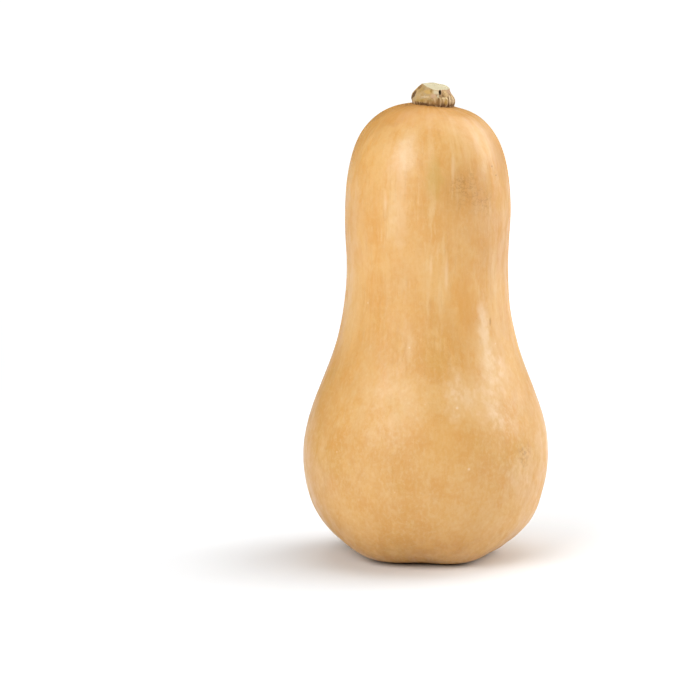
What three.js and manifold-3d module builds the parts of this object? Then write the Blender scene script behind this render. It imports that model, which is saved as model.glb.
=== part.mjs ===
// A whole butternut squash, standing upright on its blossom end.
// Millimetres, +Z up. The origin is the centre of the object's outline on the resting plane,
// and -Y is the side that shows the pit in the stem.
import * as THREE from "three";
import { mergeVertices } from "three/addons/utils/BufferGeometryUtils.js";
import Module from "manifold-3d";

const wasm = await Module();
wasm.setup();

// Driving dimensions of the fruit
const BODY_HEIGHT = 227; // resting plane to the crown under the stem
const BULB_RADIUS = 61.2; // widest part, over the seeds
const BULB_HEIGHT = 51;
const WAIST_RADIUS = 39.7; // slimmest part, at the foot of the neck
const WAIST_HEIGHT = 145.5;
const NECK_RADIUS = 41; // widest part of the neck
const NECK_HEIGHT = 170.5;
const FOOT_RADIUS = 21.5; // flat ring that it rests on
const DIMPLE_RADIUS = 10; // hollow inside that ring
const DIMPLE_DEPTH = 3;
const SCAR_RADIUS = 4.2; // corky button where the blossom fell off
const SCAR_TOP_RADIUS = 3.2;
const SCAR_HEIGHT = 1.3;

// How far the outline's curves hold their direction at each of those places
const DIMPLE_EASE = 2;
const FOOT_ROUNDING = 26.5;
const BULB_ROUNDING_BELOW = 24;
const BULB_ROUNDING_ABOVE = 30.5;
const WAIST_EASE_BELOW = 49.5;
const WAIST_EASE_ABOVE = 4;
const NECK_EASE_BELOW = 3.5;
const NECK_EASE_ABOVE = 31;
const CROWN_ROUNDING = 35;

// Where the fruit departs from a turned form
const LOBES = 5; // seed chambers, felt as shallow lobes
const LOBE_TURN = THREE.MathUtils.degToRad(15); // direction of the first lobe, from +X towards +Y
const LOBE_RELIEF = 0.3;
const FOOT_LOBE_RELIEF = 2.2; // they are plainest round the foot
const FOOT_FADE_HEIGHT = 30; // that extra has gone at this height
const BASE_LEAN = -1.3; // the foot's centre against the neck's, along X
const CROWN_TILT = 0.8; // the crown is lower on the right by this much at the neck's radius
const CROWN_TILT_START = 0.8; // share of the height
const SEAT_RADIUS = 8; // skin that turns with the stem
const SEAT_FADE_RADIUS = 27;
const SEAT_DROP = 0.2;
const SEAT_SLOPE = new THREE.Vector2(-0.055, 0.05); // it is higher to the left and at the back
const SEGMENTS = 64;

// Driving dimensions of the stem, with heights from the crown
const STEM_X = 2.4; // it grows a little right of the neck's centre
const STEM_HEIGHT = 8.2; // at its axis, on the slanting top cut
const STEM_FOOT_RADIUS = 10.4;
const STEM_FOOT_HEIGHT = 0.8; // of the foot's widest part
const STEM_NECK_RADIUS = 8.1;
const STEM_NECK_HEIGHT = 6;
const STEM_FLARE_EASE = 2.5; // how far the flare between them holds its direction
const STEM_ROOT_RADIUS = 9.4;
const STEM_ROOT_DEPTH = 5; // length that the fruit's surface trims away
const STEM_BLANK_SPARE = 4; // length that the knife takes off
const STEM_RIDGES = 5;
const STEM_RIDGE_RELIEF = 1.1;
const STEM_RIDGE_TURN = THREE.MathUtils.degToRad(-78); // direction of the front ridge
const STEM_SEGMENTS = 60;
const STEM_RIDGE_MIDDLE = 0.6; // share of the relief that lies inside the named radii
const KNIFE_BLOCK = 60;
const KNIFE_CUTS = [
  { through: [0, 0, STEM_HEIGHT], facing: [0.19, -0.24, 1] }, // pale top, falls right and forward
  { through: [-5.2, -1, STEM_HEIGHT + 0.8], facing: [-1, -0.92, 1] }, // left front
  { through: [-5.2, -1, STEM_HEIGHT + 0.8], facing: [-0.55, 0.52, 0.65] }, // left back
  { through: [-0.7, 3.8, STEM_HEIGHT + 0.8], facing: [0.18, 1, 0.5] }, // back
];
const GROOVES = [
  { radius: 3, x: 6.9, y: -6.7, floor: 2.2 }, // right front, open at the top
  { radius: 4, x: -4.6, y: -9.6, floor: 1.6 }, // left front, wide and shallow
];
const PIT_PLACE = [3.5, -7.4, STEM_HEIGHT - 3.5]; // dark upright slit beside the front ridge
const PIT_RADIUS = 0.5;
const PIT_LENGTH = 2.6;
const PIT_DEPTH = 3;
const CLEARANCE = 0.3; // gap between the stem's underside and the fruit
const WELD = 1e-4; // corners closer than this are one

const smoothstep = THREE.MathUtils.smoothstep;

function solidOf(geometry) {
  const bare = geometry.clone();
  bare.deleteAttribute("normal");
  bare.deleteAttribute("uv");
  const merged = mergeVertices(bare, WELD);
  return new wasm.Manifold(
    new wasm.Mesh({
      numProp: 3,
      vertProperties: merged.attributes.position.array,
      triVerts: new Uint32Array(merged.index.array),
    }),
  );
}

function geometryOf(solid) {
  const mesh = solid.getMesh();
  const geometry = new THREE.BufferGeometry();
  geometry.setAttribute("position", new THREE.BufferAttribute(mesh.vertProperties, 3));
  geometry.setIndex(new THREE.BufferAttribute(mesh.triVerts, 1));
  geometry.computeVertexNormals();
  return geometry;
}

// Turns an outline of (radius, height) points about +Z
function turned(points, segments) {
  return new THREE.LatheGeometry(points, segments).rotateX(Math.PI / 2);
}

function moveVertices(geometry, rule) {
  const position = geometry.attributes.position;
  const point = new THREE.Vector3();
  for (let i = 0; i < position.count; i++) {
    point.fromBufferAttribute(position, i);
    rule(point);
    position.setXYZ(i, point.x, point.y, point.z);
  }
  return geometry;
}

// Points of one Bezier stretch of an outline, without its first point
function stretch(from, fromHandle, toHandle, to, count) {
  const curve = new THREE.CubicBezierCurve(
    new THREE.Vector2(...from),
    new THREE.Vector2(...fromHandle),
    new THREE.Vector2(...toHandle),
    new THREE.Vector2(...to),
  );
  return curve.getPoints(count).slice(1);
}

// The fruit's outline from the middle of the scar, out over the foot and up to the crown
function bodyOutline() {
  const scarTop = DIMPLE_DEPTH - SCAR_HEIGHT;
  const foot = [FOOT_RADIUS, 0];
  const bulb = [BULB_RADIUS, BULB_HEIGHT];
  const waist = [WAIST_RADIUS, WAIST_HEIGHT];
  const neck = [NECK_RADIUS, NECK_HEIGHT];
  const crown = [0, BODY_HEIGHT];
  return [
    new THREE.Vector2(0, scarTop),
    new THREE.Vector2(SCAR_TOP_RADIUS, scarTop),
    new THREE.Vector2(SCAR_RADIUS, DIMPLE_DEPTH),
    ...stretch(
      [SCAR_RADIUS, DIMPLE_DEPTH],
      [SCAR_RADIUS + DIMPLE_EASE, DIMPLE_DEPTH],
      [DIMPLE_RADIUS - DIMPLE_EASE, 0],
      [DIMPLE_RADIUS, 0],
      4,
    ),
    new THREE.Vector2(...foot),
    ...stretch(
      foot,
      [FOOT_RADIUS + FOOT_ROUNDING, 0],
      [BULB_RADIUS, BULB_HEIGHT - BULB_ROUNDING_BELOW],
      bulb,
      11,
    ),
    ...stretch(
      bulb,
      [BULB_RADIUS, BULB_HEIGHT + BULB_ROUNDING_ABOVE],
      [WAIST_RADIUS, WAIST_HEIGHT - WAIST_EASE_BELOW],
      waist,
      12,
    ),
    ...stretch(
      waist,
      [WAIST_RADIUS, WAIST_HEIGHT + WAIST_EASE_ABOVE],
      [NECK_RADIUS, NECK_HEIGHT - NECK_EASE_BELOW],
      neck,
      3,
    ),
    ...stretch(
      neck,
      [NECK_RADIUS, NECK_HEIGHT + NECK_EASE_ABOVE],
      [CROWN_ROUNDING, BODY_HEIGHT],
      crown,
      14,
    ),
  ];
}

// Shallow lobes, a slight lean, a tilted crown and the seat of the stem
function growUnevenly(point) {
  const radius = Math.hypot(point.x, point.y);
  const up = point.z / BODY_HEIGHT;
  const lobe = Math.cos(LOBES * (Math.atan2(point.y, point.x) - LOBE_TURN));
  const footShare = 1 - smoothstep(point.z, 0, FOOT_FADE_HEIGHT);
  const pastDimple = smoothstep(radius, DIMPLE_RADIUS, FOOT_RADIUS);
  const relief = lobe * pastDimple * (LOBE_RELIEF + FOOT_LOBE_RELIEF * footShare);
  const grown = radius > DIMPLE_RADIUS ? (radius + relief) / radius : 1;
  point.x *= grown;
  point.y *= grown;
  const crownShare = smoothstep(up, CROWN_TILT_START, 1);
  const fromStem = new THREE.Vector2(point.x - STEM_X, point.y);
  const seatShare = 1 - smoothstep(fromStem.length(), SEAT_RADIUS, SEAT_FADE_RADIUS);
  point.z -= CROWN_TILT * (point.x / NECK_RADIUS) * crownShare;
  point.z += (SEAT_SLOPE.dot(fromStem) - SEAT_DROP) * seatShare * crownShare;
  point.x += BASE_LEAN * (1 - up) ** 2;
}

function bodyGeometry() {
  return moveVertices(turned(bodyOutline(), SEGMENTS), growUnevenly);
}

// The stub before the knife: a swollen foot under a slimmer neck, both with ridges
function stemBlank() {
  const root = [STEM_ROOT_RADIUS, -STEM_ROOT_DEPTH];
  const foot = [STEM_FOOT_RADIUS, STEM_FOOT_HEIGHT];
  const neck = [STEM_NECK_RADIUS, STEM_NECK_HEIGHT];
  const top = STEM_HEIGHT + STEM_BLANK_SPARE;
  const outline = [
    new THREE.Vector2(0, -STEM_ROOT_DEPTH),
    new THREE.Vector2(...root),
    ...stretch(
      root,
      [STEM_ROOT_RADIUS, STEM_FLARE_EASE - STEM_ROOT_DEPTH],
      [STEM_FOOT_RADIUS, STEM_FOOT_HEIGHT - STEM_FLARE_EASE],
      foot,
      5,
    ),
    ...stretch(
      foot,
      [STEM_FOOT_RADIUS, STEM_FOOT_HEIGHT + STEM_FLARE_EASE],
      [STEM_NECK_RADIUS, STEM_NECK_HEIGHT - STEM_FLARE_EASE],
      neck,
      7,
    ),
    new THREE.Vector2(STEM_NECK_RADIUS, top),
    new THREE.Vector2(0, top),
  ];
  return moveVertices(turned(outline, STEM_SEGMENTS), (point) => {
    const angle = Math.atan2(point.y, point.x) - STEM_RIDGE_TURN;
    const ridge = Math.abs(Math.cos((STEM_RIDGES * angle) / 2)) - STEM_RIDGE_MIDDLE;
    const grown = 1 + (STEM_RIDGE_RELIEF * ridge) / STEM_NECK_RADIUS;
    point.x *= grown;
    point.y *= grown;
  });
}

// A half space as a large block: everything past a point, on the side that the cut faces
function knifeCut({ through, facing }) {
  const normal = new THREE.Vector3(...facing).normalize();
  const turn = new THREE.Quaternion().setFromUnitVectors(new THREE.Vector3(0, 0, 1), normal);
  const centre = new THREE.Vector3(...through).addScaledVector(normal, KNIFE_BLOCK / 2);
  const block = new THREE.BoxGeometry(KNIFE_BLOCK, KNIFE_BLOCK, KNIFE_BLOCK);
  return solidOf(block.applyQuaternion(turn).translate(centre.x, centre.y, centre.z));
}

// Upright round bar that cuts a groove from its floor up through the top
function grooveCut({ radius, x, y, floor }) {
  const length = 2 * STEM_HEIGHT;
  const cylinder = new THREE.CylinderGeometry(radius, radius, length, 20).rotateX(Math.PI / 2);
  return solidOf(cylinder.translate(x, y, floor + length / 2));
}

// Level bar with an upright oval section, half of it inside the stem's side
function pitCut() {
  const cylinder = new THREE.CylinderGeometry(PIT_RADIUS, PIT_RADIUS, 2 * PIT_DEPTH, 10);
  return solidOf(cylinder.scale(1, 1, PIT_LENGTH / (2 * PIT_RADIUS)).translate(...PIT_PLACE));
}

function stemGeometry(body) {
  const seat = solidOf(body).translate([-STEM_X, 0, CLEARANCE - BODY_HEIGHT]);
  const cuts = [...KNIFE_CUTS.map(knifeCut), ...GROOVES.map(grooveCut), pitCut(), seat];
  return geometryOf(cuts.reduce((stub, cut) => stub.subtract(cut), solidOf(stemBlank())));
}

function namedMesh(name, geometry, material) {
  const mesh = new THREE.Mesh(geometry, material);
  mesh.name = name;
  return mesh;
}

const skin = new THREE.MeshStandardMaterial({ color: "#e0af6e", roughness: 0.45, metalness: 0 });
const dryStalk = new THREE.MeshStandardMaterial({ color: "#b5a277", roughness: 0.85, metalness: 0 });

const body = namedMesh("squash_body", bodyGeometry(), skin);
const stem = namedMesh("stem", stemGeometry(body.geometry), dryStalk);
stem.position.set(STEM_X, 0, BODY_HEIGHT);

const squash = new THREE.Group();
squash.add(body, stem);

// Centres the outline over the origin
const outlineBox = new THREE.Box3().setFromObject(squash);
const outlineCentre = outlineBox.getCenter(new THREE.Vector3());
for (const piece of [body, stem]) {
  piece.position.x -= outlineCentre.x;
  piece.position.y -= outlineCentre.y;
}

export default squash;
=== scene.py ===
# %% [markdown]
# # A whole butternut squash
#
# This lesson dresses a butternut squash that stands on its blossom end. A fixed frame already holds
# its two pieces at their real size: the fruit and the stub of its stalk. We model a finer fruit and a
# finer stub in the same places, give both a finish worked out from noise, and photograph them in a
# bright studio. All lengths are in metres, so a value in millimetres is multiplied by MM.

# %% Load the fixed frame
import math
import bmesh
import bpy
from mathutils import Matrix, Vector, noise


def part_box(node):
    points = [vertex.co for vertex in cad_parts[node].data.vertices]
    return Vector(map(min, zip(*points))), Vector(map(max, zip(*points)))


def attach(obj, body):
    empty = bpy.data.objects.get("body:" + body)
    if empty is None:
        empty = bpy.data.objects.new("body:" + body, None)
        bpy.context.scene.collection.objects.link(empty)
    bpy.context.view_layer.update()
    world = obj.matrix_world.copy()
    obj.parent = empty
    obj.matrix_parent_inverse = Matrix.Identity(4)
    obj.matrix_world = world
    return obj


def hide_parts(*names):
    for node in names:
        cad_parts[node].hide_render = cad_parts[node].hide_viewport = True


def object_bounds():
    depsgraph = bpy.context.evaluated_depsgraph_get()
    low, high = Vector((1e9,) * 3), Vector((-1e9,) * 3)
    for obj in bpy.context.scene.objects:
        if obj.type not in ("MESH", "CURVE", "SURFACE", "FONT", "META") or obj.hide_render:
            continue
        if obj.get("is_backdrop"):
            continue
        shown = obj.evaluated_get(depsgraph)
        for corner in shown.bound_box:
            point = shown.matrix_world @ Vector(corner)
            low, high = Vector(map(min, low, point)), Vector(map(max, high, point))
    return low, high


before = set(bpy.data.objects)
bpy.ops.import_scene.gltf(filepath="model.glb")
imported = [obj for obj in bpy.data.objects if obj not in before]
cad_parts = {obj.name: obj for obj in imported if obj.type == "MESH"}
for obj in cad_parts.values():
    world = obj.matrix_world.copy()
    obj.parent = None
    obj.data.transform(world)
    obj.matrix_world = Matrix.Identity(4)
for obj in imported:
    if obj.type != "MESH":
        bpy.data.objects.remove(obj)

MM = 0.001


def mm(*lengths):
    """Lengths in millimetres, turned into metres."""
    return tuple(length * MM for length in lengths)


cad_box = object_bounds()
body_low, body_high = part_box("squash_body")
stem_low, stem_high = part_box("stem")
for name, corner in zip(("from", "to"), cad_box):
    print("frame", name, tuple(round(along, 4) for along in corner))
print("fruit from", round(body_low.z, 4), "to", round(body_high.z, 4), "m high")
print("stub from", round(stem_low.z, 4), "to", round(stem_high.z, 4), "m high")

# %% [markdown]
# ## The camera
#
# The photograph was taken with a long lens from a little above the fruit: its foot is seen from about
# twelve degrees up and its crown from about four. A camera could be placed by eye, but the fruit's
# outline was measured, so we use the distance, height and lens that made it fit, and then turn the
# camera until the middle of the fruit's foot lands where the photograph has it.

# %% Place the camera
PICTURE_SIZE = 700
SENSOR_WIDTH = 36.0
LENS = 167.14
CAMERA_DISTANCE = 1.6
CAMERA_HEIGHT = 0.34
FOOT_IN_PICTURE = (426.15, 553.2)


def aim_at_foot():
    """Direction of view that puts the origin at its place in the picture."""
    focal_pixels = LENS / SENSOR_WIDTH * PICTURE_SIZE
    across = FOOT_IN_PICTURE[0] - PICTURE_SIZE / 2
    down = FOOT_IN_PICTURE[1] - PICTURE_SIZE / 2
    pitch = math.atan2(CAMERA_HEIGHT, CAMERA_DISTANCE) - math.atan2(down, focal_pixels)
    yaw = math.atan2(across, focal_pixels)
    level = Vector((-math.sin(yaw), math.cos(yaw), 0))
    return level * math.cos(pitch) - Vector((0, 0, math.sin(pitch)))


camera_data = bpy.data.cameras.new("studio_camera")
camera_data.sensor_width = SENSOR_WIDTH
camera_data.lens = LENS
camera_data.clip_end = 50
camera = bpy.data.objects.new("studio_camera", camera_data)
camera.location = (0, -CAMERA_DISTANCE, CAMERA_HEIGHT)
camera.rotation_euler = aim_at_foot().to_track_quat("-Z", "Y").to_euler()
bpy.context.scene.collection.objects.link(camera)
bpy.context.scene.camera = camera
print("camera looks along", tuple(round(v, 3) for v in aim_at_foot()))

# %% [markdown]
# ## A few hand tools
#
# Blender's operators act on whatever is selected, and the frame's nodes are selected when they are
# loaded. So every step starts by deselecting everything, and edges and faces are then picked in code,
# by where they are.

# %% Selecting, applying and measuring


def start_fresh():
    """Back to object mode with nothing selected."""
    if bpy.context.object and bpy.context.object.mode != "OBJECT":
        bpy.ops.object.mode_set(mode="OBJECT")
    bpy.ops.object.select_all(action="DESELECT")


def pick(piece):
    """Makes one object the only selected and the active one."""
    start_fresh()
    piece.select_set(True)
    bpy.context.view_layer.objects.active = piece


def select_where(piece, test):
    """In edit mode, selects the vertices whose place passes the test."""
    mesh = bmesh.from_edit_mesh(piece.data)
    bpy.ops.mesh.select_all(action="DESELECT")
    for vertex in mesh.verts:
        vertex.select = test(vertex.co)
    mesh.select_flush(True)
    bmesh.update_edit_mesh(piece.data)


def apply_modifier(piece, kind, **settings):
    """Adds one modifier, sets it and applies it."""
    pick(piece)
    modifier = piece.modifiers.new(kind.title(), kind)
    for name, value in settings.items():
        setattr(modifier, name, value)
    bpy.ops.object.modifier_apply(modifier=modifier.name)


def subdivide_smoothly(piece, levels):
    apply_modifier(piece, "SUBSURF", levels=levels, render_levels=levels)


def extrude_ring(centre, rise, ratio):
    """Extrudes the selected ring straight up, then widens or narrows the new one about its centre."""
    bpy.ops.mesh.extrude_region_move(TRANSFORM_OT_translate={"value": (0, 0, rise)})
    bpy.ops.transform.resize(value=(ratio, ratio, 1), center_override=centre)


def put_place_in_mesh(piece):
    pick(piece)
    bpy.ops.object.transform_apply(location=True, rotation=True, scale=True)


def ease(value, start, end):
    """0 below start, 1 above end, and a smooth step between them."""
    share = min(max((value - start) / (end - start), 0), 1)
    return share * share * (3 - 2 * share)


def count(piece):
    """Says how many triangles a piece has."""
    triangles = sum(len(face.vertices) - 2 for face in piece.data.polygons)
    print(piece.name, "has", triangles, "triangles")


# %% [markdown]
# ## A guide for the fruit
#
# The frame's fruit has the right shape but flat facets. We take a copy of it, merge its loose
# triangles, turn them into quads and subdivide them, and get a smooth guide that new pieces can be
# fitted to. The frame's own mesh stays as it is.

# %% Make the guide


def smooth_guide(node, levels):
    """A merged and subdivided copy of one of the frame's nodes."""
    guide = bpy.data.objects.new(node + "_guide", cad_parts[node].data.copy())
    bpy.context.scene.collection.objects.link(guide)
    pick(guide)
    bpy.ops.object.mode_set(mode="EDIT")
    bpy.ops.mesh.select_all(action="SELECT")
    bpy.ops.mesh.remove_doubles(threshold=0.01 * MM)
    bpy.ops.mesh.tris_convert_to_quads()
    bpy.ops.object.mode_set(mode="OBJECT")
    subdivide_smoothly(guide, levels)
    return guide


guide = smooth_guide("squash_body", 2)
count(guide)

# %% [markdown]
# ## The fruit
#
# A squash is one grown piece: a round bulb over the seeds, a waist, a neck of solid flesh and a domed
# crown. It could be sculpted, but a grown shape like this one is easily built as a potter throws a
# vase. We start with a ring round the foot and extrude it upwards ring by ring, then close the crown,
# and go back to the foot to turn in the hollow with the blossom scar. Each ring is written as a share
# of the fruit's height and of the bulb's radius, as an eye would judge it.

# %% Extrude the rings
BODY_RINGS = [
    (0.013, 0.59),
    (0.053, 0.81),
    (0.123, 0.955),
    (0.225, 1.00),
    (0.33, 0.945),
    (0.44, 0.81),
    (0.54, 0.70),
    (0.64, 0.65),
    (0.75, 0.67),
    (0.835, 0.645),
    (0.905, 0.56),
    (0.955, 0.41),
    (0.987, 0.23),
    (0.999, 0.08),
]
FOOT_RADIUS = 21.5 * MM
DIMPLE_RADIUS = 10 * MM
SCAR_RADIUS = 4.2 * MM
DIMPLE_RINGS = [
    (0, DIMPLE_RADIUS),
    mm(1.6, 7.4),
    mm(3.0, 5.0),
    (2.9 * MM, SCAR_RADIUS),
    mm(1.7, 3.2),
    mm(1.7, 1.0),
]
CAGE_SIDES = 16
ON_FLOOR = 0.1 * MM
BULB_RADIUS = (body_high.x - body_low.x) / 2
BODY_HEIGHT = body_high.z


def throw_body():
    """The fruit's cage, from the ring that it rests on up to the crown, then down into the dimple."""
    start_fresh()
    bpy.ops.mesh.primitive_circle_add(vertices=CAGE_SIDES, radius=FOOT_RADIUS, location=(0, 0, 0))
    body = bpy.context.object
    body.name = "squash_fruit"
    bpy.ops.object.mode_set(mode="EDIT")
    radius = FOOT_RADIUS
    height = 0
    for height_share, radius_share in BODY_RINGS:
        rise = height_share * BODY_HEIGHT - height
        extrude_ring((0, 0, height + rise), rise, radius_share * BULB_RADIUS / radius)
        height = height + rise
        radius = radius_share * BULB_RADIUS
    bpy.ops.mesh.edge_face_add()
    bpy.ops.mesh.poke()
    select_where(body, lambda place: place.z < ON_FLOOR)
    radius = FOOT_RADIUS
    height = 0
    for ring_height, ring_radius in DIMPLE_RINGS:
        rise = ring_height - height
        extrude_ring((0, 0, height + rise), rise, ring_radius / radius)
        height = height + rise
        radius = ring_radius
    bpy.ops.mesh.edge_face_add()
    bpy.ops.mesh.poke()
    bpy.ops.mesh.select_all(action="SELECT")
    bpy.ops.mesh.normals_make_consistent(inside=False)
    bpy.ops.object.mode_set(mode="OBJECT")
    return body


body = throw_body()
count(body)

# %% [markdown]
# The cage is subdivided and laid onto the guide twice, the first time coarse and the second time fine,
# because each subdivision draws a shape in a little. Laying it down leaves small steps, so it is smoothed
# a little each time. Now it has the real fruit's uneven foot, its lean and its tilted crown.

# %% Fit the fruit to its guide
for smoothing in (2, 1):
    subdivide_smoothly(body, 2)
    apply_modifier(body, "SHRINKWRAP", target=guide, wrap_method="NEAREST_SURFACEPOINT")
    apply_modifier(body, "SMOOTH", factor=0.5, iterations=smoothing)
bpy.data.objects.remove(guide)
count(body)

# %% [markdown]
# ## The grain of the skin
#
# The skin's cells grow in lines from the blossom scar to the stem. Streaks and faint furrows follow
# those lines, close together on the neck and wider apart on the bulb, and meet at both ends. Two
# numbers describe a place on the skin that way: the direction round the fruit and the length along the
# skin. We store them as one vector attribute, with the direction as a point on a circle, so that a
# pattern made from them has no seam.

# %% Store the grain
GRAIN_CIRCLE = 50 * MM
NECK_AXIS_X = 0.8 * MM
FOOT_AXIS_X = -0.5 * MM
MEAN_DIMPLE = 2 * MM


def axis_x(height):
    """The fruit leans: the middle of its foot is a little left of the middle of its neck."""
    share = 1 - min(max(height / BODY_HEIGHT, 0), 1)
    return NECK_AXIS_X + (FOOT_AXIS_X - NECK_AXIS_X) * share * share


def skin_profile():
    """Points of the outline with the length along it, for looking up how far along the skin a place is."""
    points = [(0.0, MEAN_DIMPLE), (DIMPLE_RADIUS, 0.0), (FOOT_RADIUS, 0.0)]
    points += [(radius * BULB_RADIUS, height * BODY_HEIGHT) for height, radius in BODY_RINGS]
    points.append((0.0, BODY_HEIGHT))
    lengths = [0.0]
    for (r0, z0), (r1, z1) in zip(points, points[1:]):
        lengths.append(lengths[-1] + math.hypot(r1 - r0, z1 - z0))
    return points, lengths


PROFILE, LENGTHS = skin_profile()


def length_along(radius, height):
    """Length along the skin from the blossom scar to the nearest place on the outline."""
    nearest = None
    for (r0, z0), (r1, z1), start in zip(PROFILE, PROFILE[1:], LENGTHS):
        span = Vector((r1 - r0, z1 - z0))
        share = Vector((radius - r0, height - z0)).dot(span) / span.length_squared
        share = min(max(share, 0), 1)
        gap = math.hypot(radius - r0 - share * span.x, height - z0 - share * span.y)
        if nearest is None or gap < nearest[0]:
            nearest = (gap, start + share * span.length)
    return nearest[1]


def grain_at(place):
    """Where a place is in the grain: a point on a circle, and the length along the skin as its height."""
    across = Vector((place.x - axis_x(place.z), place.y))
    radius = across.length
    direction = across / radius if radius > 0 else Vector((1, 0))
    along = length_along(radius, place.z)
    return Vector((direction.x * GRAIN_CIRCLE, direction.y * GRAIN_CIRCLE, along))


grain = [grain_at(vertex.co) for vertex in body.data.vertices]
grain_attribute = body.data.attributes.new("skin_grain", "FLOAT_VECTOR", "POINT")
grain_attribute.data.foreach_set("vector", [number for point in grain for number in point])
print("skin is", round(max(point.z for point in grain) * 1000), "mm long from scar to stem")

# %% [markdown]
# ## Unevenness that the light shows
#
# A grown skin is never a perfect turned surface. It has low lumps, faint furrows along the grain, a
# corky scar where the blossom fell off, and it dips round the stalk, with small pleats. These
# could be a bump in the finish, but a bump doesn't change the outline or the mesh, so the ones that
# are wide enough are moved into the surface itself. Each vertex is moved along its normal by a sum of
# smooth noises, the ones along the grain being read from the grain attribute.
#
# The smoothing also drew the fruit in by a few tenths of a millimetre, and it leans on the right of
# its foot. So the first of these sums gives back what was lost, on the right most of all.

# %% Give back what the fitting drew in
STEM_AXIS = Vector((3.2 * MM, 0, 227 * MM))
FULLNESS = 0.2 * MM
RIGHT_FULLNESS = 0.24 * MM
TOP_LEVELS = mm(212, 224)
TOP_LOSS = 0.5
CROWN_SHIFT = 0.3 * MM
CROWN_LEVELS = mm(180, 215)
HIP_FULLNESS = 0.55 * MM
HIP_RISE = mm(12, 19)
HIP_FALL = mm(22, 36)
SOLE_SPREAD = 0.8 * MM
SOLE_RISE = mm(0, 1.5)
SOLE_FALL = mm(3, 7)


def rightness_of(place, axis):
    """1 on the right of an upright axis, -1 on its left, and 0 in front of it and behind it."""
    across = Vector((place.x - axis, place.y))
    return across.x / max(across.length, MM)


def fullness(place):
    """More on the right and low on its hip, less on the crown's left."""
    rightness = rightness_of(place, axis_x(place.z))
    crown = ease(place.z, *CROWN_LEVELS)
    hip = ease(place.z, *HIP_RISE) * (1 - ease(place.z, *HIP_FALL))
    given = (FULLNESS + RIGHT_FULLNESS * rightness) * (1 - TOP_LOSS * ease(place.z, *TOP_LEVELS))
    return given + CROWN_SHIFT * crown * min(rightness, 0) + HIP_FULLNESS * hip * max(rightness, 0)


def sole_relief(place):
    """The fruit's weight spreads the edge of its foot on the right."""
    if place.z > SOLE_FALL[1] or math.hypot(place.x - FOOT_AXIS_X, place.y) < FOOT_RADIUS:
        return 0
    rightness = max(rightness_of(place, FOOT_AXIS_X), 0)
    return SOLE_SPREAD * rightness * ease(place.z, *SOLE_RISE) * (1 - ease(place.z, *SOLE_FALL))


right_hip = Vector((BULB_RADIUS, 0, HIP_RISE[1]))
print("the right hip gets", round(fullness(right_hip) / MM, 2), "mm")

# %% Dip the collar and roughen the scar
SEEDS = {"lumps": 3.1, "small lumps": 8.6, "furrows": 7.7, "collar": 4.2, "scar": 1.3}
COLLAR_BASE = 0.9 * BODY_HEIGHT
COLLAR_START = 25 * MM
COLLAR_END = 9 * MM
COLLAR_DIP = 0.3 * MM
SIDE_DIP = 0.45 * MM
COLLAR_LEAN = 0.1 * MM
PLEATS = 19
PLEAT_RELIEF = 0.12 * MM
PLEAT_WANDER_SIZE = 6 * MM
PLEAT_WANDER = 3
MEAN_PLEAT = 0.5
LEFT_PLEAT = 0.4
SCAR_GRAIN_SIZE = 1.4 * MM
SCAR_RELIEF = 0.3 * MM
SCAR_TOP = 4 * MM


def lumps(point, size, kind):
    """Smooth noise between -1 and 1 with lumps of about the given size. Each kind has its own seed."""
    seed = SEEDS[kind]
    return noise.noise(point / size + Vector((seed, 2 * seed, -seed)))


def collar_relief(place):
    """The skin dips towards the stalk's foot, more at its sides, and is pleated on its left."""
    from_stem = Vector((place.x - STEM_AXIS.x, place.y - STEM_AXIS.y))
    if place.z < COLLAR_BASE or from_stem.length > COLLAR_START:
        return 0
    nearness = 1 - ease(from_stem.length, COLLAR_END, COLLAR_START)
    rightness = rightness_of(place, STEM_AXIS.x)
    angle = math.atan2(from_stem.y, from_stem.x)
    sway = PLEAT_WANDER * lumps(place, PLEAT_WANDER_SIZE, "collar")
    pleat = math.cos(PLEATS * angle + sway) * (MEAN_PLEAT - LEFT_PLEAT * rightness)
    dip = COLLAR_DIP + SIDE_DIP * abs(rightness) + COLLAR_LEAN * rightness
    return PLEAT_RELIEF * pleat * nearness ** 2 - dip * nearness


def scar_relief(place):
    """The blossom's scar is corky."""
    radius = math.hypot(place.x - FOOT_AXIS_X, place.y)
    if place.z > SCAR_TOP or radius > DIMPLE_RADIUS:
        return 0
    nearness = 1 - ease(radius, SCAR_RADIUS, DIMPLE_RADIUS)
    return SCAR_RELIEF * lumps(place, SCAR_GRAIN_SIZE, "scar") * nearness


beside_stalk = STEM_AXIS + Vector((COLLAR_END, 0, 0))
print("the skin dips by", round(-collar_relief(beside_stalk) / MM, 2), "mm on the stalk's right")

# %% Raise the skin's relief
LUMP_SIZE = 21 * MM
LUMP_RELIEF = 0.32 * MM
SMALL_LUMP_SIZE = LUMP_SIZE / 3
SMALL_LUMP_RELIEF = 0.2 * LUMP_RELIEF
FURROW_SIZE = 5.5 * MM
FURROW_STRETCH = 0.07
FURROW_RELIEF = 0.1 * MM
RELIEF_RISE = mm(0.5, 12)


def skin_relief(place, grain_point):
    """How far a place on the skin is moved outwards."""
    drawn_out = Vector((grain_point.x, grain_point.y, grain_point.z * FURROW_STRETCH))
    relief = fullness(place) + LUMP_RELIEF * lumps(place, LUMP_SIZE, "lumps")
    relief += SMALL_LUMP_RELIEF * lumps(place, SMALL_LUMP_SIZE, "small lumps")
    relief += FURROW_RELIEF * lumps(drawn_out, FURROW_SIZE, "furrows")
    relief *= ease(place.z, *RELIEF_RISE)
    return relief + sole_relief(place) + collar_relief(place) + scar_relief(place)


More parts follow.
